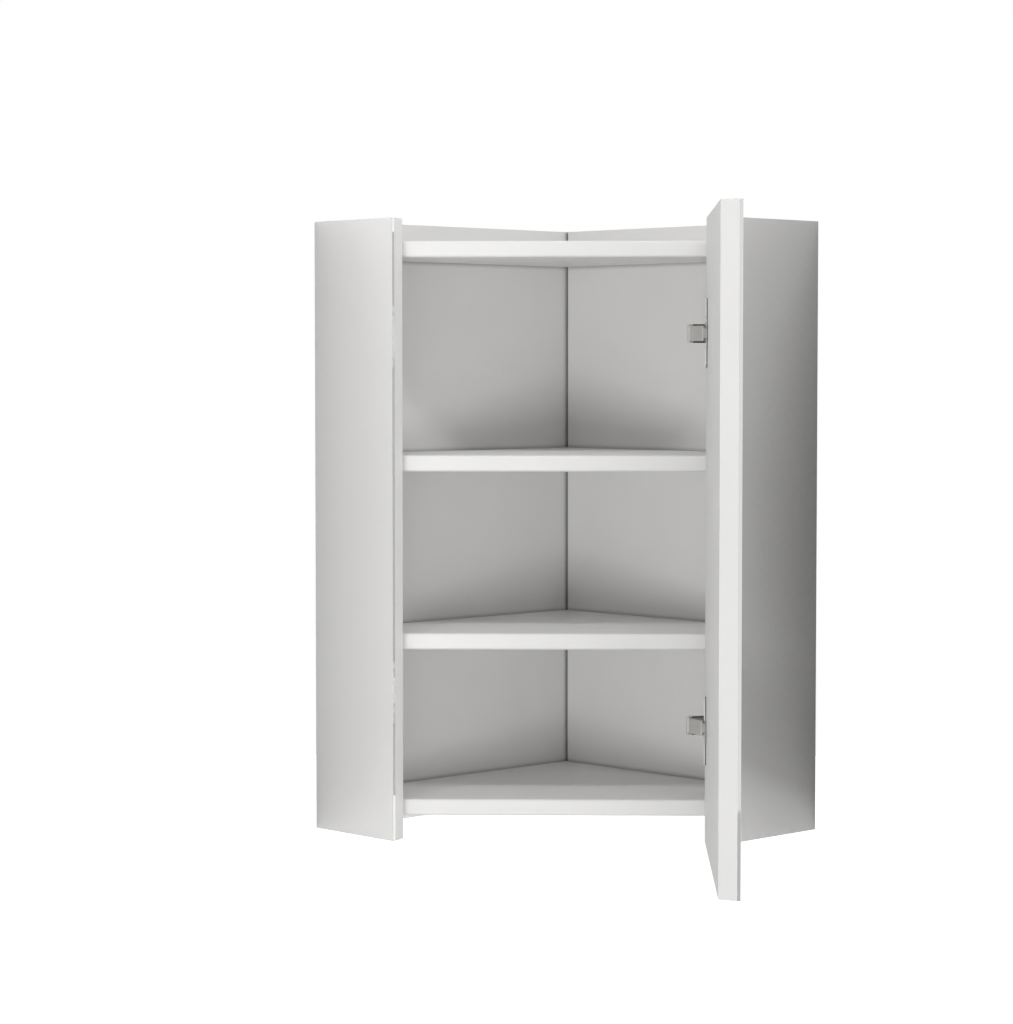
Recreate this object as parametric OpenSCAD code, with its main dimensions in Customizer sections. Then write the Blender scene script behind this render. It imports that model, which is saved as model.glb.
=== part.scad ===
// Corner mirror cabinet for a room corner: two back panels on the walls, two mirrored
// side panels square to the walls, four horizontal boards and a mirrored door across
// the corner, drawn open as photographed. Millimetres, +Z up, front towards -Y.
// The origin is the room's own corner line at the cabinet's lower edge.

/* [Cabinet] */
// Height of the side panels, back panels and door
cab_h = 600; // [450:10:800]
// Length along each wall, from the room's corner to the outer mirror face
wall_len = 350; // [320:1:420]
// Depth of each side panel, square to its wall
side_depth = 115; // [100:1:150]
// Thickness of every board
board_t = 16; // [15:0.5:19]
// Thickness of the mirror glass
mirror_t = 3; // [2.5:0.1:4]
// Fine chamfer around each mirror
mirror_chamfer = 0.2; // [0.1:0.1:0.6]
// Angle of the mitred front ends of the side panels and of the door's ends
mitre = 22.5; // [18:0.5:24]

/* [Boards] */
// Width of the shadow gap down the joint of the two back panels
corner_gap = 2.8; // [1:0.1:3]
// Depth of that gap
corner_gap_deep = 3.5; // [2:0.1:3.5]
// How far the top panel lies below the upper edge
top_recess = 21; // [10:1:40]
// How far the bottom panel lies above the lower edge
bottom_recess = 21; // [10:1:40]
// Height of the lower shelf's underside
lower_shelf_z = 183; // [170:1:200]
// Height of the upper shelf's underside
upper_shelf_z = 356; // [330:1:380]
// How far the boards' front edges stay behind the side panels' inner front corners
front_setback = 10; // [6:0.5:20]
// Rounding of the boards' front edges
front_round = 2.5; // [0.5:0.1:3]

/* [Door] */
// Gap between the closed door's mitred end and the side panel's
door_gap = 2.5; // [2:0.1:4]
// How far the door stands open here, counted from closed
door_open = 89.5; // [87:0.5:92]
// Swing axis, in from the door's inner corner on the hinge side
axis_in = 4; // [3.5:0.1:5]
// Swing axis, forward of the closed door's inner face
axis_out = 16; // [15:0.1:17]

/* [Hinges] */
// Distance of each hinge's centre from the door's nearer end
hinge_end = 110.5; // [90:0.5:150]
// Cup radius
cup_r = 17.5; // [16:0.1:17.5]
// Depth of the cup below the door's inner face
cup_deep = 11.5; // [11:0.1:12.5]
// Wall of the cup
cup_wall = 0.8; // [0.6:0.1:1]
// Distance from the cup's wall to the door's inner corner
cup_edge = 2; // [1.8:0.1:2.2]
// Thickness of the cup's flange
flange_t = 1.2; // [1:0.1:1.5]
// Height of the flange
flange_h = 66; // [62:1:72]
// Width of the flange at its ends
flange_w = 14; // [12:0.5:18]
// Radius of the round rim of the flange
rim_r = 19; // [18.5:0.1:19.5]
// Distance between the cup's two screws
cup_screw_span = 48; // [46:1:52]
// How far the cup's screws lie behind its centre
cup_screw_in = 6; // [5:0.5:9]
// Height of the hinge arm
arm_h = 18; // [17:0.5:20]
// Thickness of the arm's metal
arm_t = 1.2; // [1:0.1:1.6]
// Arm pin, inboard of the closed door's inner corner
arm_pin_in = 34.8; // [34:0.1:36]
// Arm pin, behind the closed door's inner face
arm_pin_back = 4.4; // [4.4:0.1:5]
// Radius of the arm pin
arm_pin_r = 1.5; // [1.2:0.1:1.6]
// Radius of the arm's rounded nose
nose_r = 2.6; // [2.4:0.1:2.8]
// Link pin, depth below the door's inner face
link_pin_deep = 3.5; // [3.3:0.1:3.8]
// Radius of the link pin
link_pin_r = 0.9; // [0.7:0.1:1]
// Radius of the link's eye around its pin
link_eye_r = 1.7; // [1.6:0.1:1.8]
// How far the link's elbow stands above its eye
link_rise = 6.7; // [6.5:0.1:7]
// Thickness of the link
link_t = 2.4; // [2:0.1:2.6]
// Height of the link's narrow end inside the cup
eye_h = 9; // [8:0.5:9]
// Thickness of the two cheeks in the cup that flank the link's narrow end
cheek_t = 1.6; // [1.2:0.1:1.8]
// Hinge plate's screw line, behind the side panel's inner front corner
plate_line = 37; // [34:1:42]
// Distance between the plate's two screws
plate_span = 32; // [32:1:36]
// Thickness of the hinge plate
plate_t = 2; // [1.5:0.1:2.5]
// Width of the hinge plate
plate_w = 18; // [16:1:22]
// Height of the hinge plate
plate_h = 48; // [48:1:56]

/* [Fasteners] */
// Radius of the screws that hold the boards
screw_r = 3.5; // [3:0.1:3.5]
// Length of the screws that hold the boards
screw_len = 50; // [45:1:60]
// Radius of their heads
screw_head_r = 5; // [4.5:0.1:6]
// Radius of the wooden dowels
dowel_r = 4; // [3:0.1:4]
// Length of the wooden dowels
dowel_len = 28; // [24:1:32]
// How deep a dowel goes into a side panel
dowel_in_side = 10; // [8:0.5:11]
// Distance of the first dowel in a board's end from the back panel
dowel_first = 24; // [20:1:30]
// Distance between the two dowels in a board's end
dowel_pitch = 34; // [28:1:40]
// Radius of the small screws for hinges and hangers
small_r = 1.8; // [1.5:0.1:2]
// Length of the small screws
small_len = 13; // [10:0.5:13]
// Radius of the small screws' heads
small_head_r = 3.4; // [3:0.1:3.6]

/* [Wall hangers] */
// Distance of each hanger from the room's corner, along the wall
hanger_x = 190; // [150:1:220]
// Distance of the hanger's entry hole below the upper edge
hanger_down = 70; // [60:1:120]
// Width of the hanger plate
hanger_w = 56; // [50:1:64]
// Height of the hanger plate
hanger_h = 38; // [36:1:44]
// Thickness of the hanger plate
hanger_t = 2; // [1.5:0.1:2.5]
// Distance of the hanger's screws from its ends
hanger_screw_in = 9; // [7:0.5:10]
// Radius of the entry hole
entry_r = 5; // [4.5:0.1:5.5]
// Half width of the slot above it
slot_r = 2.6; // [2.2:0.1:2.7]
// Rise of the slot above the entry hole
slot_rise = 12; // [11:0.5:14]
// Depth of the pocket for the wall screw's head
pocket_deep = 8; // [6:0.5:8]

/* [Fits] */
// Spare depth beyond the tip of a screw or dowel
tip_room = 0.5; // [0.3:0.1:1]
// Clearance around screws and dowels in their holes
hole_fit = 0.05; // [0.02:0.01:0.08]
// Radial running clearance of the pins
run_fit = 0.04; // [0.02:0.01:0.08]
// Clearance between the link's narrow end and the cheeks in the cup
eye_fit = 0.3; // [0.2:0.05:0.35]
// Clearance between the arm's cheeks and the link and plate between them
side_fit = 0.6; // [0.4:0.05:0.7]

/* [Hidden] */
$fn = 48;
eps = 0.01;

// Along-the-wall place of the side panel's inner and outer board faces
side_in = wall_len - mirror_t - board_t;
side_out = wall_len - mirror_t;
// Depth of the mitred front end across one board
mitre_run = board_t * tan(mitre);
// Depth of the side panel at its inner face
side_in_depth = side_depth - mitre_run;
// Inner front corner of the right side panel
inner_x = (side_in - side_in_depth) / sqrt(2);
inner_y = -(side_in + side_in_depth) / sqrt(2);
// Foremost point of the side mirrors, with which the closed door is flush
tip_y = -(wall_len + side_depth) / sqrt(2);
// Heights of the four horizontal boards
top_z = cab_h - top_recess - board_t;
bottom_z = bottom_recess;
board_zs = [bottom_z, lower_shelf_z, upper_shelf_z, top_z];
// Front edges of the horizontal boards
front_y = inner_y + front_setback;

// Closed door: inner face, and its inner corner on the hinge side
door_y = tip_y + board_t + mirror_t;
door_x = inner_x + (inner_y - door_y) * tan(mitre) - door_gap / cos(mitre);
// Swing axis
axis_x = door_x - axis_in;
axis_y = door_y - axis_out;
hinge_high_z = cab_h - hinge_end;
hinge_low_z = hinge_end;
hinge_zs = [hinge_high_z, hinge_low_z];

// Arm pin and link pin in plan, the link pin with the door closed and open. The link pin
// sits where its distance from the arm pin is the same in both.
arm_pin = [door_x - arm_pin_in, door_y + arm_pin_back];
pin_line_shut = [door_x, door_y - link_pin_deep] - arm_pin;
pin_line_open = turned([door_x, door_y - link_pin_deep], door_open) - arm_pin;
shut_dir = [-1, 0];
open_dir = [-cos(door_open), -sin(door_open)];
link_pin_in = (pin_line_open * pin_line_open - pin_line_shut * pin_line_shut)
    / (2 * (pin_line_shut * shut_dir - pin_line_open * open_dir));
link_pin_shut = [door_x - link_pin_in, door_y - link_pin_deep];
link_pin = turned(link_pin_shut, door_open);
elbow = turned([link_pin_shut[0], link_pin_shut[1] + link_rise], door_open);
link_h = arm_h - 2 * arm_t - 2 * side_fit;

cup_in = cup_edge + cup_r;
// The cheeks stay short of where the link's wide part passes
cheek_len = 3;
notch_h = eye_h + 2 * eye_fit;
// Places along the wall of the screws through the back panels
screw_xs = [wall_len * 0.24, wall_len * 0.72];
corner_screw_zs = [cab_h * 0.15, cab_h * 0.43, cab_h * 0.73, cab_h * 0.89];
end_dowel_zs = [cab_h * 0.17, cab_h * 0.47, cab_h * 0.8];
// Places of the dowels in the ends of the boards, measured from the wall
dowel_ys = [board_t + dowel_first, board_t + dowel_first + dowel_pitch];
// Height of the hanger's entry hole, and its screws' distance from its middle
hanger_z = cab_h - hanger_down;
hanger_screw_x = hanger_w / 2 - hanger_screw_in;

// A plan point of the closed door after the door has turned by a
function turned(p, a) = [axis_x + (p[0] - axis_x) * cos(a) - (p[1] - axis_y) * sin(a),
                         axis_y + (p[0] - axis_x) * sin(a) + (p[1] - axis_y) * cos(a)];
function bearing(v) = atan2(v[1], v[0]);

// Local frame of the left wall: X along the wall from the corner, Y out of the wall
module on_left() rotate([0, 0, -135]) children();
module on_right() mirror([1, 0, 0]) on_left() children();
// Local frame of the right side panel's inner face: X back along the panel from its
// inner front corner, Y off its inner face into the cabinet
module on_right_side() translate([inner_x, inner_y, 0]) rotate([0, 0, 45]) children();
// Everything on the door is drawn with the door closed and turned open here
module on_door() translate([axis_x, axis_y, 0]) rotate([0, 0, door_open])
    translate([-axis_x, -axis_y, 0]) children();
// Door frame: origin at the closed door's inner corner on the hinge side, X towards the
// free end, Y back into the cabinet
module from_door_corner(z) translate([door_x, door_y, z]) mirror([1, 0, 0]) children();

// Board with its hole for one screw driven along +Y from a wall face
module screw_hole(x, z) {
    translate([x, -eps, z]) rotate([-90, 0, 0]) cylinder(r = screw_r + hole_fit, h = screw_len + 1);
    translate([x, -eps, z]) rotate([-90, 0, 0])
        cylinder(r1 = screw_head_r + hole_fit + eps, r2 = screw_r + hole_fit, h = screw_head_r - screw_r);
}

module board_screw_holes() for (z = board_zs, x = screw_xs) screw_hole(x, z + board_t / 2);
module corner_screw_holes() for (z = corner_screw_zs) screw_hole(board_t / 2, z);

module dowel_hole(y, z) translate([side_in - (dowel_len - dowel_in_side) - tip_room, y, z]) rotate([0, 90, 0])
    cylinder(r = dowel_r + hole_fit, h = dowel_len + 2 * tip_room);
module board_dowel_holes() for (z = board_zs, y = dowel_ys) dowel_hole(y, z + board_t / 2);
module end_dowel_holes() for (z = end_dowel_zs) dowel_hole(board_t / 2, z);

// Hanger: keyhole outline in X and Z, centred on the entry hole
module keyhole_cut(h) {
    cylinder(r = entry_r, h = h);
    translate([0, slot_rise, 0]) cylinder(r = slot_r, h = h);
    translate([-slot_r, 0, 0]) cube([2 * slot_r, slot_rise, h]);
}

hanger_low = -(hanger_h - slot_rise) / 2;
module hanger_seat() {
    translate([hanger_x, 0, hanger_z]) {
        translate([-hanger_w / 2, -eps, hanger_low]) cube([hanger_w, hanger_t + eps, hanger_h]);
        translate([-entry_r - 3, 0, -entry_r - 2])
            cube([2 * entry_r + 6, hanger_t + pocket_deep, slot_rise + 2 * entry_r + 4]);
        for (s = [-1, 1]) translate([s * hanger_screw_x, 0, slot_rise / 2]) rotate([-90, 0, 0])
            cylinder(r = small_r + hole_fit, h = small_len + 0.5);
    }
}

module back_board(start) translate([start, 0, 0]) cube([side_in - start, board_t, cab_h]);

module back_panel_left() color("gainsboro") on_left() difference() {
    back_board(0);
    board_screw_holes();
    corner_screw_holes();
    end_dowel_holes();
    hanger_seat();
}

module back_panel_right() color("gainsboro") difference() {
    on_right() difference() {
        back_board(board_t);
        board_screw_holes();
        end_dowel_holes();
        hanger_seat();
    }
    on_left() {
        corner_screw_holes();
        translate([board_t - corner_gap_deep, board_t - eps, -eps])
            cube([corner_gap_deep + eps, corner_gap + eps, cab_h + 2 * eps]);
    }
}

// Side panel in its wall's frame, with the mitred front end
module side_board() difference() {
    linear_extrude(cab_h) polygon([[side_in, 0], [side_out, 0], [side_out, side_depth], [side_in, side_in_depth]]);
    board_dowel_holes();
    end_dowel_holes();
}

module side_panel_left() color("whitesmoke") on_left() side_board();

module plate_screw_holes() for (z = hinge_zs, s = [-1, 1]) translate([plate_line, eps, z + s * plate_span / 2])
    rotate([90, 0, 0]) cylinder(r = small_r + hole_fit, h = small_len - plate_t + 0.5);

module side_panel_right() color("whitesmoke") difference() {
    on_right() side_board();
    on_right_side() plate_screw_holes();
}

// Mirror pane lying in X and Z with its face towards +Y, w by h, chamfered at the face
module pane(w, h) {
    c = mirror_chamfer;
    t = mirror_t;
    intersection() {
        linear_extrude(h) polygon([[0, 0], [w, 0], [w, t - c], [w - c, t], [c, t], [0, t - c]]);
        rotate([90, 0, 90]) linear_extrude(w) polygon([[0, 0], [t - c, 0], [t, c], [t, h - c], [t - c, h], [0, h]]);
    }
}

module side_pane() translate([side_out, side_depth, 0]) rotate([0, 0, -90]) pane(side_depth, cab_h);
module side_mirror_left() color("silver") on_left() side_pane();
module side_mirror_right() color("silver") on_right() side_pane();

// Plan of a horizontal board: the inner corner, the side panels and the front edge
module board_plan() {
    corner_y = -board_t * sqrt(2);
    wide = (side_in - board_t) / sqrt(2);
    deep = -(side_in + board_t) / sqrt(2);
    front_half = inner_x + front_setback;
    polygon([[0, corner_y], [wide, deep], [front_half, front_y], [-front_half, front_y], [-wide, deep]]);
}

// Horizontal board with a rounded front edge
module flat_board(z) {
    r = front_round;
    w = 2 * inner_x + 2 * front_setback + 2;
    difference() {
        translate([0, 0, z]) intersection() {
            linear_extrude(board_t) board_plan();
            union() {
                translate([-wall_len, front_y + r, 0]) cube([2 * wall_len, wall_len * 2, board_t]);
                translate([-w / 2, front_y, r]) cube([w, 2 * r, board_t - 2 * r]);
                for (h = [r, board_t - r]) translate([-w / 2, front_y + r, h]) rotate([0, 90, 0]) cylinder(r = r, h = w);
            }
        }
        for (s = [0, 1]) mirror([s, 0, 0]) on_left() {
            board_screw_holes();
            board_dowel_holes();
        }
    }
}

module top_panel() color("white") flat_board(top_z);
module upper_shelf() color("white") flat_board(upper_shelf_z);
module lower_shelf() color("white") flat_board(lower_shelf_z);
module bottom_panel() color("white") flat_board(bottom_z);

// Screw driven along +Z: countersunk head with a hexagon socket, plain shank
module board_screw() difference() {
    union() {
        cylinder(r1 = screw_head_r, r2 = screw_r, h = screw_head_r - screw_r);
        cylinder(r = screw_r, h = screw_len - 3);
        translate([0, 0, screw_len - 3]) cylinder(r1 = screw_r, r2 = 1.5, h = 3);
    }
    translate([0, 0, -eps]) cylinder(r = 2.3, h = 3, $fn = 6);
}

module panel_screws() color("silver") {
    for (s = [0, 1]) mirror([s, 0, 0]) on_left() for (z = board_zs, x = screw_xs)
        translate([x, 0, z + board_t / 2]) rotate([-90, 0, 0]) board_screw();
    on_left() for (z = corner_screw_zs) translate([board_t / 2, 0, z]) rotate([-90, 0, 0]) board_screw();
}

module dowel(y, z) translate([side_in - (dowel_len - dowel_in_side), y, z]) rotate([0, 90, 0]) {
    cylinder(r1 = dowel_r - 0.8, r2 = dowel_r, h = 1);
    translate([0, 0, 1]) cylinder(r = dowel_r, h = dowel_len - 2);
    translate([0, 0, dowel_len - 1]) cylinder(r1 = dowel_r, r2 = dowel_r - 0.8, h = 1);
}

module panel_dowels() color("burlywood") for (s = [0, 1]) mirror([s, 0, 0]) on_left() {
    for (z = board_zs, y = dowel_ys) dowel(y, z + board_t / 2);
    for (z = end_dowel_zs) dowel(board_t / 2, z);
}

module hanger_plate() translate([hanger_x, hanger_t, hanger_z]) rotate([90, 0, 0]) difference() {
    translate([-hanger_w / 2 + hole_fit, hanger_low + hole_fit, 0])
        cube([hanger_w - 2 * hole_fit, hanger_h - 2 * hole_fit, hanger_t]);
    translate([0, 0, -eps]) keyhole_cut(hanger_t + 2 * eps);
    for (s = [-1, 1]) translate([s * hanger_screw_x, slot_rise / 2, -eps]) {
        cylinder(r = small_r + hole_fit, h = hanger_t + 2 * eps);
        translate([0, 0, hanger_t - (small_head_r - small_r) + eps])
            cylinder(r1 = small_r + hole_fit, r2 = small_head_r + hole_fit, h = small_head_r - small_r + eps);
    }
}

module wall_hanger_left() color("silver") on_left() hanger_plate();
module wall_hanger_right() color("silver") on_right() hanger_plate();

// Small screw driven along +Z: countersunk or domed head with a cross recess
module small_screw(sunk) {
    rise = small_head_r - small_r;
    difference() {
        union() {
            if (sunk) cylinder(r1 = small_head_r, r2 = small_r, h = rise);
            else translate([0, 0, -rise]) cylinder(r1 = small_head_r * 0.75, r2 = small_head_r, h = rise);
            cylinder(r = small_r, h = small_len - 2);
            translate([0, 0, small_len - 2]) cylinder(r1 = small_r, r2 = 0.6, h = 2);
        }
        for (a = [0, 90]) rotate([0, 0, a]) translate([-small_head_r * 0.55, -0.35, (sunk ? 0 : -rise) - eps])
            cube([small_head_r * 1.1, 0.7, 1]);
    }
}

module wall_hanger_screws() color("silver") for (s = [0, 1], e = [-1, 1]) mirror([s, 0, 0]) on_left()
    translate([hanger_x + e * hanger_screw_x, 0, hanger_z + slot_rise / 2]) rotate([-90, 0, 0]) small_screw(true);

// Hinge plate on the right side panel, with the ridge that the arm straddles
ridge_h = arm_h - 2 * arm_t - 2 * side_fit;
ridge_from = plate_line - plate_w / 2 - 5;
ridge_len = plate_w + 12;
ridge_top = 7;
module hinge_plate(z) on_right_side() translate([0, 0, z]) difference() {
    union() {
        translate([plate_line - plate_w / 2, 0, -plate_h / 2]) cube([plate_w, plate_t, plate_h]);
        translate([ridge_from, 0, -ridge_h / 2]) cube([ridge_len, ridge_top, ridge_h]);
    }
    for (s = [-1, 1]) translate([plate_line, plate_t + 1, s * plate_span / 2]) rotate([90, 0, 0])
        cylinder(r = small_r + hole_fit, h = plate_t + 2);
    for (x = adjuster_xs) translate([x, ridge_top + 1, 0]) rotate([90, 0, 0])
        cylinder(r = small_r + hole_fit, h = ridge_top);
}

module hinge_plate_upper() color("silver") hinge_plate(hinge_high_z);
module hinge_plate_lower() color("silver") hinge_plate(hinge_low_z);

module hinge_plate_screws() color("silver") for (z = hinge_zs, s = [-1, 1]) on_right_side()
    translate([plate_line, plate_t, z + s * plate_span / 2]) rotate([90, 0, 0]) small_screw(false);

// Plan of the arm in the side panel's frame: pin place, then the bent channel
pin_side = [((arm_pin[0] - inner_x) + (arm_pin[1] - inner_y)) / sqrt(2),
            ((arm_pin[1] - inner_y) - (arm_pin[0] - inner_x)) / sqrt(2)];
arm_low = plate_t + side_fit;
arm_top = ridge_top + arm_t;
arm_end = ridge_from + ridge_len + 2;
// The arm rises off the plate over this run, by this much, on its way to the pin
arm_bend = ridge_from - 6;
arm_run = 12;
arm_rise = 5;
adjuster_xs = [plate_line - 5, plate_line + 8];
boss_room = nose_r + side_fit;
// The outer line of the arm, from the nose's back round to the arm's rear end
nose_back = [pin_side[0] + nose_r * cos(60), pin_side[1] + nose_r * sin(60)];
nose_front = [pin_side[0] + nose_r * cos(-135), pin_side[1] + nose_r * sin(-135)];

module arm_plan() {
    translate(pin_side) circle(nose_r);
    polygon([nose_front, [0, arm_low + 6], [arm_bend, arm_low], [arm_end, arm_low],
             [arm_end, arm_top], [arm_bend, arm_top], [arm_bend - arm_run, arm_top + arm_rise], nose_back]);
}

// The hollow between the arm's two cheeks, open to the front; what is left at the back
// is the arm's web, which ends clear of the link's boss
module arm_hollow_plan() polygon([[arm_end + 1, arm_top - arm_t], [arm_bend - 0.3, arm_top - arm_t],
    [arm_bend - arm_run - 0.5, arm_top + arm_rise - arm_t],
    [pin_side[0] + boss_room * cos(-12), pin_side[1] + boss_room * sin(-12)],
    [pin_side[0] + 2 * boss_room * cos(40), pin_side[1] + 2 * boss_room * sin(40)],
    [pin_side[0] - 6, pin_side[1] + 6], [pin_side[0] - 6, pin_side[1] - 8], [-6, -4], [arm_end + 1, -4]]);

module hinge_arm(z) on_right_side() translate([0, 0, z]) difference() {
    translate([0, 0, -arm_h / 2]) linear_extrude(arm_h) arm_plan();
    translate([0, 0, arm_t - arm_h / 2]) linear_extrude(arm_h - 2 * arm_t) arm_hollow_plan();
    translate([pin_side[0], pin_side[1], -arm_h]) cylinder(r = arm_pin_r + hole_fit, h = 2 * arm_h);
    for (x = adjuster_xs) translate([x, arm_top + 1, 0]) rotate([90, 0, 0])
        cylinder(r = small_r + hole_fit, h = arm_t + 2);
}

module hinge_arm_upper() color("silver") hinge_arm(hinge_high_z);
module hinge_arm_lower() color("silver") hinge_arm(hinge_low_z);

// Short adjusting screw with a cross recess, seated on the arm
module adjusting_screw() difference() {
    union() {
        translate([0, 0, -1.6]) cylinder(r = small_head_r, h = 1.6);
        cylinder(r = small_r, h = arm_top - 2);
    }
    for (a = [0, 90]) rotate([0, 0, a]) translate([-small_head_r * 0.6, -0.4, -1.6 - eps])
        cube([small_head_r * 1.2, 0.8, 1]);
}

module hinge_adjusting_screws() color("silver") for (z = hinge_zs, x = adjuster_xs) on_right_side()
    translate([x, arm_top, z]) rotate([90, 0, 0]) adjusting_screw();

module hinge_arm_pins() color("gray") for (z = hinge_zs) translate([arm_pin[0], arm_pin[1], z - arm_h / 2])
    cylinder(r = arm_pin_r, h = arm_h);

// Link: cranked strap from the arm pin to the eye inside the cup, drawn with the door open
module strap(p, q, t) {
    d = q - p;
    translate(p) rotate([0, 0, bearing(d)]) translate([0, -t / 2]) square([norm(d), t]);
}

module hinge_link(z) translate([0, 0, z]) difference() {
    union() {
        translate([0, 0, -link_h / 2]) linear_extrude(link_h) union() {
            translate(arm_pin) circle(nose_r);
            strap(arm_pin, elbow, link_t);
            translate(elbow) circle(link_t / 2);
        }
        translate([0, 0, -eye_h / 2]) linear_extrude(eye_h) union() {
            strap(elbow, link_pin, link_t);
            translate(link_pin) circle(link_eye_r);
        }
    }
    translate([arm_pin[0], arm_pin[1], -link_h]) cylinder(r = arm_pin_r + run_fit, h = 2 * link_h);
    translate([link_pin[0], link_pin[1], -link_h]) cylinder(r = link_pin_r + run_fit, h = 2 * link_h);
}

module hinge_link_upper() color("silver") hinge_link(hinge_high_z);
module hinge_link_lower() color("silver") hinge_link(hinge_low_z);

module hinge_link_pins() color("gray") for (z = hinge_zs) translate([link_pin[0], link_pin[1], z - eye_h / 2])
    cylinder(r = link_pin_r, h = eye_h);

// Door board with both ends mitred and the bores for the cups
module door_panel() color("white") on_door() difference() {
    linear_extrude(cab_h) polygon([[door_x, door_y], [-door_x, door_y],
        [-door_x - mitre_run, door_y - board_t], [door_x + mitre_run, door_y - board_t]]);
    for (z = hinge_zs) from_door_corner(z) {
        translate([cup_in, eps, 0]) rotate([90, 0, 0]) cylinder(r = cup_r + hole_fit, h = cup_deep + 0.3);
        for (s = [-1, 1]) translate([cup_in + cup_screw_in, eps, s * cup_screw_span / 2]) rotate([90, 0, 0])
            cylinder(r = small_r + hole_fit, h = small_len);
    }
}

module door_mirror() color("silver") on_door() translate([door_x + mitre_run, door_y - board_t, 0])
    rotate([0, 0, 180]) pane(2 * (door_x + mitre_run), cab_h);

// Hinge cup: flange on the door's inner face and the round cup below it. The hinge side
// is cut open for the link, and two cheeks flank the opening.
module hinge_cup(z) on_door() from_door_corner(z) translate([cup_in, 0, 0]) difference() {
    union() {
        difference() {
            union() {
                cup_flange();
                rotate([90, 0, 0]) cylinder(r = cup_r, h = cup_deep - 1);
                rotate([90, 0, 0]) translate([0, 0, cup_deep - 1]) cylinder(r1 = cup_r, r2 = cup_r - 1, h = 1);
            }
            rotate([90, 0, 0]) translate([0, 0, -flange_t - 1])
                cylinder(r = cup_r - cup_wall, h = flange_t + 1 + cup_deep - cup_wall);
        }
        for (s = [-1, 1]) translate([-cup_r + cup_wall / 2 + 1, -cup_deep + cup_wall / 2, s * (notch_h + cheek_t) / 2 - cheek_t / 2])
            cube([cheek_len, cup_deep - cup_wall / 2 - 0.5, cheek_t]);
    }
    translate([-cup_r - 1, -(cup_deep - cup_wall), -notch_h / 2]) cube([5, cup_deep - cup_wall, notch_h]);
    translate([-cup_r + 0.5, -eps, -notch_h / 2]) cube([5, flange_t + 1, notch_h]);
    for (s = [-1, 1]) translate([cup_screw_in, 0, s * cup_screw_span / 2]) rotate([-90, 0, 0])
        cylinder(r1 = small_r + hole_fit, r2 = small_r + hole_fit + flange_t + eps, h = flange_t + eps);
}

module cup_flange() {
    rotate([90, 0, 0]) translate([0, 0, -flange_t]) cylinder(r = rim_r, h = flange_t);
    translate([cup_screw_in, 0, 0]) {
        for (s = [-1, 1]) translate([0, flange_t, s * (flange_h - flange_w) / 2]) rotate([90, 0, 0])
            cylinder(r = flange_w / 2, h = flange_t);
        translate([-flange_w / 2, 0, -(flange_h - flange_w) / 2]) cube([flange_w, flange_t, flange_h - flange_w]);
    }
}

module hinge_cup_upper() color("silver") hinge_cup(hinge_high_z);
module hinge_cup_lower() color("silver") hinge_cup(hinge_low_z);

module hinge_cup_screws() color("silver") on_door() for (z = hinge_zs, s = [-1, 1]) from_door_corner(z)
    translate([cup_in + cup_screw_in, small_head_r - small_r, s * cup_screw_span / 2]) rotate([90, 0, 0])
        small_screw(true);

back_panel_left();
back_panel_right();
side_panel_left();
side_panel_right();
side_mirror_left();
side_mirror_right();
top_panel();
upper_shelf();
lower_shelf();
bottom_panel();
panel_screws();
panel_dowels();
wall_hanger_left();
wall_hanger_right();
wall_hanger_screws();
hinge_plate_upper();
hinge_plate_lower();
hinge_plate_screws();
hinge_arm_upper();
hinge_arm_lower();
hinge_adjusting_screws();
hinge_arm_pins();
hinge_link_upper();
hinge_link_lower();
hinge_link_pins();
door_panel();
door_mirror();
hinge_cup_upper();
hinge_cup_lower();
hinge_cup_screws();
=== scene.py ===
# %% [markdown]
# A corner mirror cabinet, dressed for its portrait. The engineering model is loaded as a fixed
# frame: it says where every board, pane and hinge part sits and what turns when the door
# swings. This lesson gives the pieces the small things that a plain solid lacks: broken
# edges, ground glass, lacquer and plated metal. Everything is in metres.

# %% Load the frame
import bpy
from math import radians, sin, cos, sqrt
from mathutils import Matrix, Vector


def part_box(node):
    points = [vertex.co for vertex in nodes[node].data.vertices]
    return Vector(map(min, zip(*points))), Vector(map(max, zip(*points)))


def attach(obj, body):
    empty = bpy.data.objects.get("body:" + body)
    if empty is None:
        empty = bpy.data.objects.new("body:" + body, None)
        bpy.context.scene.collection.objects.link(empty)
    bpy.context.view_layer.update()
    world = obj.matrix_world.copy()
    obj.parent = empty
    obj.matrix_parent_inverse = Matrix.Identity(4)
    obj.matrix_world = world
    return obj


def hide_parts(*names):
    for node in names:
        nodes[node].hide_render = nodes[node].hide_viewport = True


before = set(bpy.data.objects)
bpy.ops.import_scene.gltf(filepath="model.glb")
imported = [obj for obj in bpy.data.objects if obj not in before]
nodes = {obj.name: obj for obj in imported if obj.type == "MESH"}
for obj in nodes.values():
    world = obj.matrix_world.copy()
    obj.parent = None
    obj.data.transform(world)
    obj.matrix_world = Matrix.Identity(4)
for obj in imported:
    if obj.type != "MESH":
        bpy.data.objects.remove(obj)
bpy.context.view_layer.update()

# %% [markdown]
# The camera comes first, because it decides how large each detail appears. Its place and
# focal length were found by fitting the cabinet's edges in the photograph. It looks almost
# straight into the corner, from a little above the middle, turned slightly downwards and to
# the left.

# %% Camera
LENS_PIXELS = 2907.32
PHOTO_WIDTH = 1013
SENSOR_MM = 36.0
CAMERA_PLACE = (0.00243, -3.11314, 0.45808)
DEGREES_DOWN, DEGREES_LEFT = 2.8698, 1.2162
NEAREST, FARTHEST = 0.05, 60.0

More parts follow.
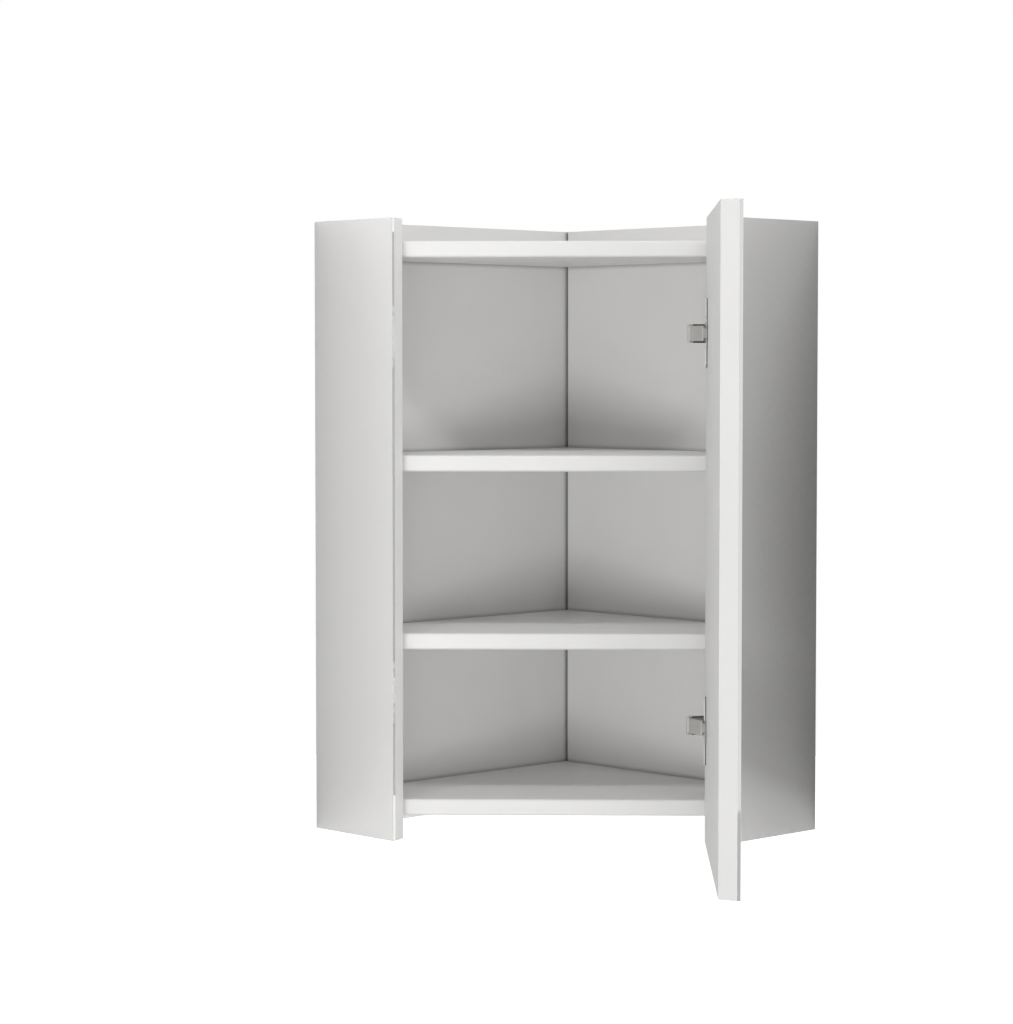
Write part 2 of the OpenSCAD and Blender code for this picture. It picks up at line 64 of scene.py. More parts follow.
camera_data = bpy.data.cameras.new("portrait_camera")
camera_data.sensor_fit = "HORIZONTAL"
camera_data.sensor_width = SENSOR_MM
camera_data.lens = LENS_PIXELS * SENSOR_MM / PHOTO_WIDTH
camera_data.clip_start = NEAREST
camera_data.clip_end = FARTHEST
camera = bpy.data.objects.new("portrait_camera", camera_data)
bpy.context.scene.collection.objects.link(camera)
camera.location = CAMERA_PLACE
camera.rotation_euler = (radians(90 - DEGREES_DOWN), 0.0, radians(DEGREES_LEFT))
bpy.context.scene.camera = camera
bpy.context.scene.view_settings.view_transform = "Standard"
print("lens", round(camera_data.lens, 2), "mm")

# %% [markdown]
# A few helpers for the workbench. Operators act on whatever is selected, so each step starts
# by letting go of everything. A copied solid arrives as loose triangles: its doubles are
# merged and its flat triangles joined, and only then can an edge be broken cleanly.

# %% Workbench helpers
DOUBLES_WITHIN = 0.00002
FLAT_WITHIN = radians(1.0)


def let_go():
    if bpy.context.object and bpy.context.object.mode != "OBJECT":
        bpy.ops.object.mode_set(mode="OBJECT")
    bpy.ops.object.select_all(action="DESELECT")


def take(piece):
    let_go()
    piece.select_set(True)
    bpy.context.view_layer.objects.active = piece


def joined_copy(solid, name):
    """A clean copy of a CAD solid, with whole faces in place of triangles."""
    copy = nodes[solid].copy()
    copy.data = nodes[solid].data.copy()
    copy.name = name
    copy.parent = None
    bpy.context.scene.collection.objects.link(copy)
    copy.data.materials.clear()
    take(copy)
    bpy.ops.object.mode_set(mode="EDIT")
    bpy.ops.mesh.select_all(action="SELECT")
    bpy.ops.mesh.remove_doubles(threshold=DOUBLES_WITHIN)
    bpy.ops.mesh.dissolve_limited(angle_limit=FLAT_WITHIN)
    bpy.ops.object.mode_set(mode="OBJECT")
    return copy


print("nodes in the frame:", len(nodes))

# %% [markdown]
# A real edge is never razor sharp: sandpaper, lacquer or rolling leaves it a little round,
# and that thin rounding is what catches the light. A bevel gives it. The weighted normals
# afterwards keep the broad faces optically flat, so no false shading creeps in from the
# rounded edges.

# %% Broken edges
SHARPER_THAN, SMOOTH_BELOW = radians(35), radians(30)


def break_edges(piece, width, rounds=2):
    """Rounds every sharp edge by the width, in so many segments."""
    take(piece)
    bevel = piece.modifiers.new("broken_edges", "BEVEL")
    bevel.width = width
    bevel.segments = rounds
    bevel.limit_method = "ANGLE"
    bevel.angle_limit = SHARPER_THAN
    bpy.ops.object.modifier_apply(modifier="broken_edges")
    bpy.ops.object.shade_smooth_by_angle(angle=SMOOTH_BELOW)
    flat = piece.modifiers.new("flat_faces", "WEIGHTED_NORMAL")
    flat.keep_sharp = True
    bpy.ops.object.modifier_apply(modifier="flat_faces")


print("edges sharper than", round(SHARPER_THAN, 3), "radians are broken")

# %% [markdown]
# The finishes are built from shader nodes. These helpers add one, with each input set to a
# number or colour, or fed by another node's output.

# %% Node helpers
def node(tree, kind, inputs, operation=None):
    made = tree.nodes.new("ShaderNode" + kind)
    if operation:
        made.operation = operation
    for socket, value in inputs.items():
        if isinstance(value, bpy.types.NodeSocket):
            tree.links.new(value, made.inputs[socket])
        else:
            made.inputs[socket].default_value = value
    return made


def remap(tree, source, low, high, to_low=0.0, to_high=1.0):
    """Carries the range from low to high over to another, and holds it at both ends."""
    return node(tree, "MapRange", {"Value": source, "From Min": low, "From Max": high,
                                   "To Min": to_low, "To Max": to_high}).outputs["Result"]


def ramp(tree, source, stops):
    """Turns a grey signal into the colours listed along it."""
    made = node(tree, "ValToRGB", {"Fac": source})
    for place, _ in stops[1:-1]:
        made.color_ramp.elements.new(place)
    for element, (place, colour) in zip(made.color_ramp.elements, stops):
        element.position = place
        element.color = (*colour, 1.0)
    return made.outputs["Color"]


print("node helpers: node, remap and ramp")

# %% [markdown]
# White lacquered board. The real surface is a sprayed satin lacquer over fibreboard: nearly
# even in colour, with a faint orange-peel ripple a few millimetres across and a slightly
# uneven sheen. Noise on Object coordinates gives all three, so nothing slides when the view
# turns. Its scale says how many grains go into a metre, and nearly all of its values lie
# between the two limits below.

# %% Noise and colour span
NOISE_LOW, NOISE_HIGH = 0.3, 0.7


def noise(tree, scale, detail, stretch=(1, 1, 1)):
    coordinates = node(tree, "TexCoord", {}).outputs["Object"]
    mapping = node(tree, "Mapping", {"Vector": coordinates, "Scale": stretch}).outputs["Vector"]
    texture = node(tree, "TexNoise", {"Vector": mapping, "Scale": scale, "Detail": detail})
    return texture.outputs["Fac"]


def span(tree, source, low, high):
    """Turns a grey signal into the span between two colours."""
    return ramp(tree, source, ((NOISE_LOW, low), (NOISE_HIGH, high)))


def uneven(tree, source, low, high):
    """Turns a grey signal into a number that wanders between two limits."""
    return remap(tree, source, NOISE_LOW, NOISE_HIGH, low, high)


def relief(tree, shader, source, strength, depth):
    bump = node(tree, "Bump", {"Strength": strength, "Distance": depth, "Height": source})
    tree.links.new(bump.outputs["Normal"], shader.inputs["Normal"])


print("noise is used between", NOISE_LOW, "and", NOISE_HIGH)

# %% [markdown]
# Where two boards meet, shade is painted into the colour. The ambient occlusion node feels
# how near the next surface is, and darkens the last few millimetres, so every joint of the
# carcass reads as a fine grey line of painted shade. At the bottom of a square joint half of
# the view is blocked, and there the painted shade is darkest.

# %% Painted joint shade
JOINT_SHADE_REACH, JOINT_SHADE_DARKEST = 0.0045, 0.60
JOINT_VIEW = 0.5
JOINT_RAYS = 8


def scaled(tree, vector, scale):
    return node(tree, "VectorMath", {0: vector, "Scale": scale}, "SCALE").outputs["Vector"]


def paint_joint_shade(tree, colour):
    """Paints shade into a colour in the last millimetres before it meets another board."""
    near = node(tree, "AmbientOcclusion", {"Distance": JOINT_SHADE_REACH})
    near.samples = JOINT_RAYS
    shade = node(tree, "MapRange", {"Value": near.outputs["AO"], "From Min": JOINT_VIEW,
                                    "To Min": JOINT_SHADE_DARKEST})
    shade.clamp = False
    return scaled(tree, colour, shade.outputs["Result"])


print("joints darken over", JOINT_SHADE_REACH, "m")

# %% [markdown]
# One recipe serves every painted, foiled or wooden surface. It takes two colours close to each
# other, two limits for the sheen, the strength and the grain of the ripple, and the way the
# grain is drawn out. The door's lacquer is rather matt, and the edge bands are smoother than
# the boards they cover. The door's white is a touch darker than the carcass white, and the
# edge bands' whites darker still: that difference is painted shade on what is one white.

# %% White finishes
PAINT_CLOUDS, PAINT_SHEEN = (9.0, 3.0), (26.0, 4.0)
GRAIN_DETAIL, RIPPLE_DEPTH = 1.5, 0.0004
PAINT_IOR = 1.46


def start_finish(name):
    material = bpy.data.materials.new(name)
    material.use_nodes = True
    return material, material.node_tree, material.node_tree.nodes["Principled BSDF"]


def lacquer(name, low, high, sheen, ripple=0.05, grain=420.0, stretch=(1, 1, 1), gloss=0.5,
            joints=False):
    material, tree, shader = start_finish(name)
    colour = span(tree, noise(tree, *PAINT_CLOUDS), low, high)
    # When the joint flag is set, shade is painted into the colour along every joint.
    tree.links.new(paint_joint_shade(tree, colour) if joints else colour, shader.inputs["Base Color"])
    tree.links.new(uneven(tree, noise(tree, *PAINT_SHEEN), *sheen), shader.inputs["Roughness"])
    relief(tree, shader, noise(tree, grain, GRAIN_DETAIL, stretch), ripple, RIPPLE_DEPTH)
    shader.inputs["IOR"].default_value = PAINT_IOR
    shader.inputs["Specular IOR Level"].default_value = gloss
    return material


# The carcass boards and shelves take painted shade along every joint.
white_lacquer = lacquer("white_lacquer", (0.755, 0.752, 0.745), (0.785, 0.782, 0.775),
                        sheen=(0.34, 0.44), joints=True)
# The door and its edge band take darker copies of the white: painted shade.
door_lacquer_painted_shade = lacquer("door_lacquer_painted_shade", (0.725, 0.723, 0.718), (0.745, 0.743, 0.738),
                       sheen=(0.50, 0.60), gloss=0.3)
door_band_painted_shade = lacquer("door_edge_band_painted_shade", (0.610, 0.608, 0.603), (0.625, 0.623, 0.618),
                    sheen=(0.34, 0.42), ripple=0.06, grain=700.0, stretch=(1, 0.05, 1))
white_melamine = lacquer("white_melamine", (0.745, 0.742, 0.735), (0.775, 0.772, 0.765),
                         sheen=(0.38, 0.50), ripple=0.10, grain=900.0, joints=True)
# The shelves' edge band takes a darker copy of the white: painted shade.
edge_band_painted_shade = lacquer("white_edge_band_painted_shade", (0.665, 0.663, 0.658), (0.680, 0.678, 0.673),
                    sheen=(0.28, 0.36), ripple=0.06, grain=700.0, stretch=(0.05, 1, 1))
backing_foil = lacquer("backing_foil", (0.66, 0.66, 0.65), (0.70, 0.70, 0.69),
                       sheen=(0.55, 0.7), ripple=0.12, grain=1200.0)
print("white finishes", [m.name for m in (white_lacquer, white_melamine, edge_band_painted_shade, backing_foil)])

# %% [markdown]
# A dressed piece is a clean copy of its solid with broken edges. It takes its finish, rides on
# the body it belongs to and stands in for the solid. Some of its faces can then take a second
# finish, and a test on each face picks them.

# %% Dressing helpers
def finish_piece(piece, material, body, *replaced):
    piece.data.materials.clear()
    piece.data.materials.append(material)
    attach(piece, body)
    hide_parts(*replaced)


def dress(solid, ending, width, material, body, rounds=2):
    piece = joined_copy(solid, solid + ending)
    break_edges(piece, width, rounds)
    finish_piece(piece, material, body, solid)
    return piece


def refinish_faces(piece, material, wanted):
    """Gives a second finish to the faces that the test picks, and counts them."""
    piece.data.materials.append(material)
    slot = len(piece.data.materials) - 1
    picked = [face for face in piece.data.polygons if wanted(face)]
    for face in picked:
        face.material_index = slot
    return len(picked)


print("dressing helpers: finish_piece, dress and refinish_faces")

# %% [markdown]
# The carcass boards are copies of the engineering solids with their arrises taken off. The
# bores for screws and dowels stay where they are. The two back panels carry a plainer foil
# on the side that goes against the wall, as shop-made cabinets do, because nobody sees it.

# %% Back and side panels
DIAGONAL = sqrt(0.5)
WALL_SIDES = {"back_panel_left": Vector((-DIAGONAL, DIAGONAL, 0)),
              "back_panel_right": Vector((DIAGONAL, DIAGONAL, 0))}
BACK_ARRIS, SIDE_ARRIS = 0.0004, 0.0005
STRAIGHT_ON = 0.99

for solid, wall_side in WALL_SIDES.items():
    panel = dress(solid, "_board", BACK_ARRIS, white_lacquer, "cabinet")
    foiled = refinish_faces(panel, backing_foil,
                            lambda face: face.normal.dot(wall_side) > STRAIGHT_ON)
    print(solid, len(panel.data.polygons), "faces,", foiled, "foiled")
for solid in ("side_panel_left", "side_panel_right"):
    panel = dress(solid, "_board", SIDE_ARRIS, white_lacquer, "cabinet")
    print(solid, len(panel.data.polygons), "faces")

# %% [markdown]
# Shelves are melamine board, a touch more matt than lacquer and finely pebbled. Only their
# front edge is covered with a smoother band of plastic, rolled over at top and bottom. The
# faces that look forward take that second finish, whose darker white is painted shade.

# %% Shelves
SHELF_ARRIS = 0.0003
LOOKS_FORWARD = -0.3

for solid in ("top_panel", "upper_shelf", "lower_shelf", "bottom_panel"):
    shelf = dress(solid, "_board", SHELF_ARRIS, white_melamine, "cabinet")
    banded = refinish_faces(shelf, edge_band_painted_shade, lambda face: face.normal.y < LOOKS_FORWARD)
    print(solid, banded, "faces of edge band")

# %% [markdown]
# The door board is lacquered on its inner face, rather matt, so that the open door doesn't
# mirror the room beneath the cabinet. Its white is a touch darker than the carcass white, as
# painted shade. Its four narrow edges carry a band of their own, in a darker white that is
# painted shade. The door stands open by half a degree less than a right angle.

# %% Door board
SHORT_OF_SQUARE = radians(0.5)
DOOR_ARRIS, BAND_REACH = 0.0006, 0.008
SIDEWAYS = 0.6
door_inner = Vector((-cos(SHORT_OF_SQUARE), sin(SHORT_OF_SQUARE), 0.0))
door_outer = -door_inner

door_board = dress("door_panel", "_board", DOOR_ARRIS, door_lacquer_painted_shade, "door")
low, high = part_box("door_panel")


def door_edge(face):
    reach = min(face.center.z - low[2], high[2] - face.center.z,
                face.center.y - low[1], high[1] - face.center.y)
    return abs(face.normal.dot(door_inner)) < SIDEWAYS and reach < BAND_REACH


print("door", refinish_faces(door_board, door_band_painted_shade, door_edge), "faces of edge band")

# %% [markdown]
# Mirror glass. Each pane is silvered at the back, so the face is one bright reflection. The
# ground and polished edge is as bright, with the pale green of the glass body, and the back
# carries the grey paint that protects the silver.

# %% Mirror finishes
def mirroring(name, low, high, clouds, haze, sheen):
    material, tree, shader = start_finish(name)
    tree.links.new(span(tree, noise(tree, *clouds), low, high), shader.inputs["Base Color"])
    tree.links.new(uneven(tree, noise(tree, *haze), *sheen), shader.inputs["Roughness"])
    shader.inputs["Metallic"].default_value = 1.0
    return material


silvered = mirroring("silvered_glass", (0.872, 0.868, 0.857), (0.892, 0.888, 0.877),
                     clouds=(6.0, 2.0), haze=(40.0, 4.0), sheen=(0.012, 0.03))
ground_edge = mirroring("polished_glass_edge", (0.895, 0.91, 0.895), (0.925, 0.935, 0.92),
                        clouds=(900.0, 2.0), haze=(300.0, 3.0), sheen=(0.01, 0.03))
backing_paint = lacquer("mirror_backing_paint", (0.30, 0.31, 0.32), (0.36, 0.37, 0.38),
                        sheen=(0.5, 0.65), ripple=0.1, grain=800.0)
print("mirror finishes", silvered.name, ground_edge.name, backing_paint.name)

# %% [markdown]
# Which finish a face of a pane takes is decided by the way it looks: outwards it is silvered,
# sideways it is ground, and towards the board it is painted.

# %% Mirror panes
PANE_ARRIS = 0.00006


def dress_pane(solid, body, outward):
    pane = dress(solid, "_pane", PANE_ARRIS, silvered, body, rounds=1)
    edge = refinish_faces(pane, ground_edge, lambda face: abs(face.normal.dot(outward)) < SIDEWAYS)
    back = refinish_faces(pane, backing_paint, lambda face: face.normal.dot(outward) < -SIDEWAYS)
    print(solid, edge, "edge faces,", back, "backing faces")


dress_pane("side_mirror_left", "cabinet", Vector((-DIAGONAL, -DIAGONAL, 0.0)))
dress_pane("side_mirror_right", "cabinet", Vector((DIAGONAL, -DIAGONAL, 0.0)))
dress_pane("door_mirror", "door", door_outer)

# %% [markdown]
# Hinge metal. Cups, arms, links and plates are pressed from nickel-plated strip: smooth and
# bright on the rolled faces, with cloudy handling marks in the sheen. Where the press cut
# through the strip, the bare steel shows. Those narrow edges take a near-black finish, bare
# steel and painted shade together, which stands in for the shadow in the gaps around the
# hinge and outlines it.

# %% Plated metal
METAL_CLOUDS, METAL_SHEEN = (160.0, 3.0), (90.0, 5.0)
METAL_GRAIN, METAL_DEPTH = (600.0, 2.0), 0.0002


def plated(name, low, high, sheen, wear=0.05, stretch=(1, 1, 1)):
    material, tree, shader = start_finish(name)
    tree.links.new(span(tree, noise(tree, *METAL_CLOUDS), low, high), shader.inputs["Base Color"])
    tree.links.new(uneven(tree, noise(tree, *METAL_SHEEN), *sheen), shader.inputs["Roughness"])
    relief(tree, shader, noise(tree, *METAL_GRAIN, stretch), wear, METAL_DEPTH)
    shader.inputs["Metallic"].default_value = 1.0
    return material


nickel = plated("nickel_plate", (0.76, 0.755, 0.74), (0.83, 0.825, 0.81), sheen=(0.34, 0.46))
bright_nickel = plated("bright_nickel", (0.86, 0.855, 0.845), (0.92, 0.915, 0.905),
                       sheen=(0.24, 0.34))
brushed_nickel = plated("brushed_nickel", (0.68, 0.675, 0.66), (0.75, 0.745, 0.73),
                        sheen=(0.52, 0.62), wear=0.08, stretch=(1, 1, 4))
# Near-black cut edges: bare steel and painted shade together.
cut_edge_and_shade = plated("cut_edge_with_painted_shade", (0.05, 0.05, 0.05), (0.11, 0.105, 0.10),
                   sheen=(0.45, 0.6), wear=0.2, stretch=(1, 1, 6))
zinc = plated("zinc_plate", (0.55, 0.57, 0.60), (0.66, 0.68, 0.70), sheen=(0.32, 0.45))
pin_steel = plated("pin_steel", (0.42, 0.42, 0.43), (0.52, 0.52, 0.53), sheen=(0.25, 0.35))
print("metals", [m.name for m in (nickel, bright_nickel, brushed_nickel, cut_edge_and_shade, zinc)])

# %% [markdown]
# The cup's flange turns its edge towards the viewer when the door stands open. Its two ends are
# pressed up a little along the far side, which leaves room for the arm between them when the
# door is closed, and a bright line runs there beside the dark cut edge, whose near-black
# finish is bare steel and painted shade together.

# %% Hinge cups
FLANGE_ROLL = 0.0009
FLANGE_LEVEL, FLANGE_SLOPE = 0.0010, 0.0025
ARM_ROOM = 0.0100
FLANGE_SHADE_FROM, CUT_DEPTH = 0.0003, 0.00125
CUP_ARRIS = 0.00045
ON_THE_FACE = 0.00005
EDGE_ON = 0.25


def split_at(piece, point, along):
    """Scores the piece along a plane, so that a bend or a finish can end there."""
    take(piece)
    bpy.ops.object.mode_set(mode="EDIT")
    bpy.ops.mesh.select_all(action="SELECT")
    bpy.ops.mesh.bisect(plane_co=point, plane_no=along)
    bpy.ops.object.mode_set(mode="OBJECT")


def up_the_slope(distance):
    """The share of the roll that a point has, this far along the slope: from none to all."""
    return min(max(distance / FLANGE_SLOPE, 0.0), 1.0)


for level in ("upper", "lower"):
    cup = joined_copy("hinge_cup_" + level, "hinge_cup_" + level + "_plated")
    low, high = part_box("hinge_cup_" + level)
    face_at = max(corner.co.dot(door_inner) for corner in cup.data.vertices)
    split_at(cup, door_inner * (face_at - FLANGE_SHADE_FROM), door_inner)
    middle = (low + high) / 2
    for step in (0.0, FLANGE_SLOPE):
        split_at(cup, (0.0, middle.y - FLANGE_LEVEL - step, 0.0), (0.0, 1.0, 0.0))
        for end in (-1, 1):
            split_at(cup, (0.0, 0.0, middle.z + end * (ARM_ROOM + step)), (0.0, 0.0, 1.0))
    for corner in cup.data.vertices:
        if corner.co.dot(door_inner) > face_at - ON_THE_FACE:
            forward = up_the_slope(middle.y - FLANGE_LEVEL - corner.co.y)
            outward = up_the_slope(abs(corner.co.z - middle.z) - ARM_ROOM)
            corner.co += door_inner * FLANGE_ROLL * forward * outward
    break_edges(cup, CUP_ARRIS, rounds=3)
    finish_piece(cup, bright_nickel, "door", "hinge_cup_" + level)

    # The rear part of the flange's cut edge takes painted shade.
    def flange_cut_shade(face):
        outside = Vector((0.0, face.center.y - middle.y, face.center.z - middle.z))
        return (abs(face.normal.dot(door_inner)) < EDGE_ON and face.normal.dot(outside) > 0
                and face_at - CUT_DEPTH < face.center.dot(door_inner) < face_at - FLANGE_SHADE_FROM)

    print(cup.name, refinish_faces(cup, cut_edge_and_shade, flange_cut_shade), "cut faces")

# %% [markdown]
# The arm's two cheeks show their cut edges in the same way, above and below the link, with
# the same painted shade. The arm's nose stays plated, and so do the plates and the links.

# %% Hinge arms, plates and links
NOSE_LENGTH, CHEEK_RIM = 0.0055, 0.0012
CUT_FORWARD = -0.5
ARM_ARRIS, PLATE_ARRIS = 0.0002, 0.00035

for level in ("upper", "lower"):
    arm = joined_copy("hinge_arm_" + level, "hinge_arm_" + level + "_plated")
    low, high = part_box("hinge_arm_" + level)
    nose_x = low[0] + NOSE_LENGTH
    split_at(arm, (nose_x, 0.0, 0.0), (1.0, 0.0, 0.0))
    break_edges(arm, ARM_ARRIS)
    finish_piece(arm, brushed_nickel, "cabinet", "hinge_arm_" + level)

    # The cheeks' cut rims take painted shade.
    def cheek_cut_shade(face):
        near_rim = min(face.center.z - low[2], high[2] - face.center.z) < CHEEK_RIM
        return near_rim and face.normal.y < CUT_FORWARD and face.center.x > nose_x

    print(arm.name, refinish_faces(arm, cut_edge_and_shade, cheek_cut_shade), "cut faces")

for solid, metal, body in (("hinge_plate_upper", nickel, "cabinet"),
                           ("hinge_plate_lower", nickel, "cabinet"),
                           ("hinge_link_upper", brushed_nickel, "hinge_links"),
                           ("hinge_link_lower", brushed_nickel, "hinge_links")):
    piece = dress(solid, "_plated", PLATE_ARRIS, metal, body)
    print(piece.name, len(piece.data.polygons), "faces")

# %% [markdown]
# Screws, pins and dowels keep their engineering shape, which already has sockets, recesses
# and cones. They take their finish in the slots they came with, and so do the hanger plates.
# The dowels are beech with its fine lengthwise grain.

# %% Fasteners
beech = lacquer("beech", (0.50, 0.34, 0.19), (0.62, 0.44, 0.27),
                sheen=(0.6, 0.75), ripple=0.3, grain=500.0, stretch=(1, 1, 4))
FASTENERS = (
    (zinc, ("wall_hanger_left", "wall_hanger_right", "panel_screws", "wall_hanger_screws")),
    (nickel, ("hinge_plate_screws", "hinge_cup_screws", "hinge_adjusting_screws")),
    (pin_steel, ("hinge_arm_pins", "hinge_link_pins")),
    (beech, ("panel_dowels",)))

for material, solids in FASTENERS:
    for solid in solids:
        slots = nodes[solid].data.materials
        for index in range(len(slots)):
            slots[index] = material
    print(material.name, solids)

# %% [markdown]
# The studio has helpers of its own. Two of them read the Light Path node, which tells what
# kind of ray asks: one from the camera, one in a mirror, or one that only gathers light.

# %% Studio helpers
def calculate(tree, operation, *values):
    return node(tree, "Math", dict(enumerate(values)), operation).outputs[0]


def mixed(tree, share, first, second):
    return node(tree, "MixShader", {0: share, 1: first, 2: second}).outputs[0]


def curve(tree, source, tones):
    """Turns a grey signal into the tones listed along it."""
    return ramp(tree, source, [(place, (tone, tone, tone)) for place, tone in tones])


def to_camera(tree):
    """One for rays from the camera, otherwise zero."""
    return node(tree, "LightPath", {}).outputs["Is Camera Ray"]


def seen_rays(tree):
    """One for rays from the camera, in reflections and through glass, otherwise zero."""
    path = node(tree, "LightPath", {}).outputs
    total = calculate(tree, "MAXIMUM", path["Is Camera Ray"], path["Is Glossy Ray"])
    return calculate(tree, "MAXIMUM", total, path["Is Transmission Ray"])


print("studio helpers: calculate, mixed, curve, to_camera and seen_rays")

# %% [markdown]
# The world is plain white to the camera, and a softer white to the surfaces it lights, so
# that corners can fall into shade. Reflections find the room white to the left and right, and
# darker towards its front corners and its two ends, so that a mirror reads as a mirror from
# every side. The room's tones are listed from its back, through its sides, to its front.

# %% World
TO_THE_FRONT = (0.0, -1.0, 0.0)
ROOM_TONES = ((0.0, 0.74), (0.15, 0.80), (0.35, 1.0), (0.65, 1.0), (0.80, 0.60), (0.90, 0.58),
              (0.975, 0.82), (0.9925, 0.80), (0.9975, 0.77))
PLAIN_WHITE = (1, 1, 1, 1)
FILL_COLOUR, FILL_STRENGTH = (1.0, 0.995, 0.985, 1), 0.545

world = bpy.data.worlds.new("studio")
bpy.context.scene.world = world
world.use_nodes = True
tree = world.node_tree
room = tree.nodes["Background"]
heading = node(tree, "TexCoord", {}).outputs["Generated"]
front = node(tree, "VectorMath", {0: heading, 1: TO_THE_FRONT}, "DOT_PRODUCT").outputs["Value"]
tree.links.new(curve(tree, remap(tree, front, -1.0, 1.0), ROOM_TONES), room.inputs["Color"])
plain = node(tree, "Background", {"Color": PLAIN_WHITE}).outputs[0]
shown = mixed(tree, to_camera(tree), room.outputs[0], plain)
fill = node(tree, "Background", {"Color": FILL_COLOUR, "Strength": FILL_STRENGTH}).outputs[0]
tree.links.new(mixed(tree, seen_rays(tree), fill, shown), tree.nodes["World Output"].inputs[0])
print("world fill", FILL_STRENGTH)

# %% [markdown]
# Three soft lamps. Two stand low in front, one on each side of the camera: each shelf then
# shades the foot of the wall behind it. One long narrow lamp hangs high in front. Its light
# reaches only the front part of each shelf, and stops there at a straight edge, because the
# board above shades the rest. Reflections don't see the lamps, only the white room, because
# glaring lamp images would cross the polished glass. All three aim at the cabinet's middle.

# %% Lamps
LAMP_AIM = Vector((0.0, -0.25, 0.3))
LOW_SIZE, LONG_SIZE = (1.6, 0.8), (1.8, 0.22)


def lamp(name, place, size, watts):
    data = bpy.data.lights.new(name, "AREA")
    data.shape = "RECTANGLE"
    data.size, data.size_y = size
    data.energy = watts
    made = bpy.data.objects.new(name, data)
    bpy.context.scene.collection.objects.link(made)
    made.location = place
    made.rotation_euler = (LAMP_AIM - Vector(place)).to_track_quat("-Z", "Y").to_euler()
    made.visible_glossy = False
    print(name, watts, "W")


lamp("low_left", (-0.9, -3.7, -0.35), LOW_SIZE, watts=40)
lamp("low_right", (1.5, -3.6, -0.35), LOW_SIZE, watts=24.5)
lamp("overhead", (0.0, -1.4, 1.875), LONG_SIZE, watts=15.6)

# %% [markdown]
# The side panes stand square to the room's walls and mirror them from close by. So two
# stretches of white wall will stand beside the cabinet. Their colour carries painted shade,
# darker where a spot sees less of the room, which gives the soft contact shadow that the
# panes reflect. Low on the right wall a painted shadow of the open door slants upwards, away
# from the corner, with an unshaded foot beneath it. A hand's breadth out the paint fades away,
# so that nothing but the white room is mirrored beyond it.

# %% Wall paint and painted shade
WALL_FADES, WALL_GONE = 0.46, 0.505
WALL_SHADE_TONES = {"wall_left": ((0.35, 0.40), (0.60, 0.58), (0.80, 0.66), (1.0, 0.88)),
              "wall_right": ((0.20, 0.12), (0.45, 0.43), (0.70, 0.485), (1.0, 1.0))}
ROOM_REACH, ROOM_RAYS = 0.35, 16
SHADOW_BAND_SLOPE, SHADOW_BAND_LOW, SHADOW_BAND_HIGH = -0.25, -0.119, 0.081
WALL_SHADOW_BAND = {"wall_left": ((0.0, 0.98), (0.5, 0.985), (1.0, 1.0)),
             "wall_right": ((0.0, 1.0), (0.16, 1.0), (0.225, 0.97), (0.35, 0.79), (0.5, 0.80),
                            (0.7, 0.85), (1.0, 1.0))}
LEVEL = (1.0, 1.0, 0.0)
MATT = 0.9


def partly_clear(tree, share, shader):
    """Shows the shader, and nothing at all where the share is one."""
    clear = node(tree, "BsdfTransparent", {}).outputs[0]
    surface = mixed(tree, share, shader, clear)
    tree.links.new(surface, tree.nodes["Material Output"].inputs["Surface"])


def wall_painted_shade(name):
    material, tree, shader = start_finish(name + "_paint")
    shader.inputs["Roughness"].default_value = MATT
    openness = node(tree, "AmbientOcclusion", {"Distance": ROOM_REACH})
    openness.samples = ROOM_RAYS
    # Painted contact shade: darker where the ambient occlusion finds less open room.
    tones = curve(tree, openness.outputs["AO"], WALL_SHADE_TONES[name])
    place = node(tree, "NewGeometry", {}).outputs["Position"]
    height = node(tree, "SeparateXYZ", {"Vector": place}).outputs["Z"]
    below = node(tree, "VectorMath", {0: place, 1: LEVEL}, "MULTIPLY").outputs["Vector"]
    away = node(tree, "VectorMath", {0: below}, "LENGTH").outputs["Value"]
    # Painted shadow band of the open door, slanting upwards away from the corner.
    slanted = calculate(tree, "MULTIPLY_ADD", away, SHADOW_BAND_SLOPE, height)
    foot = curve(tree, remap(tree, slanted, SHADOW_BAND_LOW, SHADOW_BAND_HIGH), WALL_SHADOW_BAND[name])
    tree.links.new(scaled(tree, tones, foot), shader.inputs["Base Color"])
    partly_clear(tree, remap(tree, away, WALL_FADES, WALL_GONE), shader.outputs[0])
    return material


print("paint fades from", WALL_FADES, "to", WALL_GONE, "m from the corner")

# %% [markdown]
# The two walls go on along the lines of the back panels and start just beside them. The
# camera looks past them, and only the panes show that they are there.

# %% Walls beside the cabinet
WALL_START, WALL_END = 0.3503, 0.52
WALL_MIDDLE, WALL_HEIGHT = 0.3, 2.4

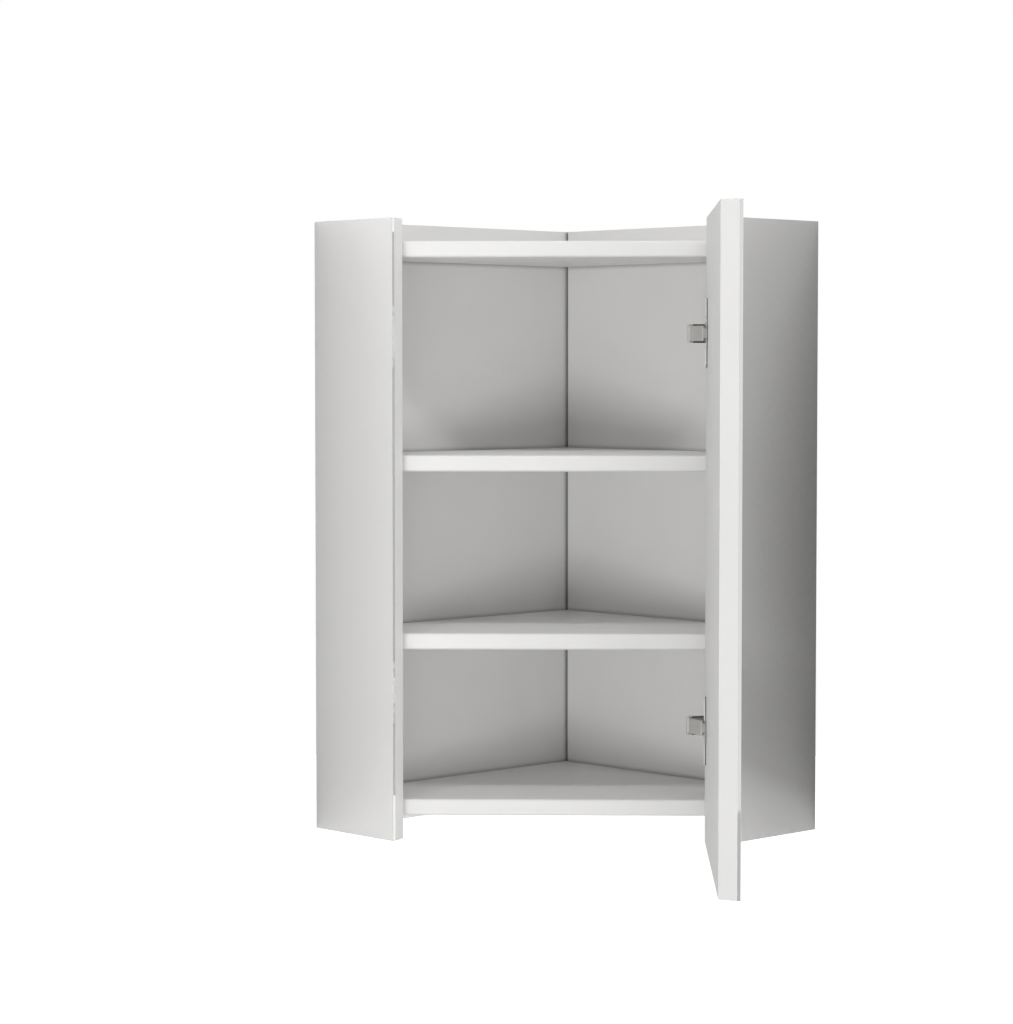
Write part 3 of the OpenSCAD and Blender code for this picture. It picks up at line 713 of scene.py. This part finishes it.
for name, side in (("wall_left", -1), ("wall_right", 1)):
    let_go()
    middle = (WALL_START + WALL_END) / 2 * DIAGONAL
    bpy.ops.mesh.primitive_plane_add(size=1.0, location=(side * middle, -middle, WALL_MIDDLE),
                                     rotation=(radians(90 * side), 0.0, radians(-90 + 45 * side)))
    wall = bpy.context.object
    wall.name = name
    wall.scale = (WALL_END - WALL_START, WALL_HEIGHT, 1.0)
    wall.data.materials.append(wall_painted_shade(name))
    wall.visible_camera = False
    print(name, "from", WALL_START, "to", WALL_END, "m")

# %% [markdown]
# The floor is a plain pale plane well below the hanging cabinet. It glows to the camera, so
# the white backdrop runs on without a horizon. In mirrors it glows only far out to the left
# and right of the cabinet, so the closed door shows a darker floor under a lighter room. Its
# underside is clear, so that the cabinet can also be looked at from below.

# %% Floor
FLOOR_SIZE, FLOOR_LEVEL = 14.0, -0.9
FLOOR_TONE = (0.9, 0.9, 0.9, 1)
GLOW_SEEN, GLOW_MIRRORED = 0.75, 0.5
GLOW_LIMITS = (("X", 2.0, 3.5), ("Y", 2.4, 1.2))

let_go()
bpy.ops.mesh.primitive_plane_add(size=FLOOR_SIZE, location=(0.0, 0.0, FLOOR_LEVEL))
floor = bpy.context.object
floor.name = "floor"
floor_white, tree, paint = start_finish("floor_white")
paint.inputs["Base Color"].default_value = FLOOR_TONE
paint.inputs["Roughness"].default_value = MATT
spot = node(tree, "NewGeometry", {}).outputs
axes = node(tree, "SeparateXYZ", {"Vector": spot["Position"]}).outputs
mirrored = calculate(tree, "MULTIPLY", seen_rays(tree), GLOW_MIRRORED)
for axis, dark_at, bright_at in GLOW_LIMITS:
    distance = calculate(tree, "ABSOLUTE", axes[axis])
    mirrored = calculate(tree, "MULTIPLY", mirrored, remap(tree, distance, dark_at, bright_at))
photographed = calculate(tree, "MULTIPLY", to_camera(tree), GLOW_SEEN)
strength = calculate(tree, "MAXIMUM", mirrored, photographed)
glow = node(tree, "Emission", {"Strength": strength}).outputs[0]
glowing = node(tree, "AddShader", {0: paint.outputs[0], 1: glow}).outputs[0]
partly_clear(tree, spot["Backfacing"], glowing)
floor.data.materials.append(floor_white)
print("floor at", FLOOR_LEVEL, "m")
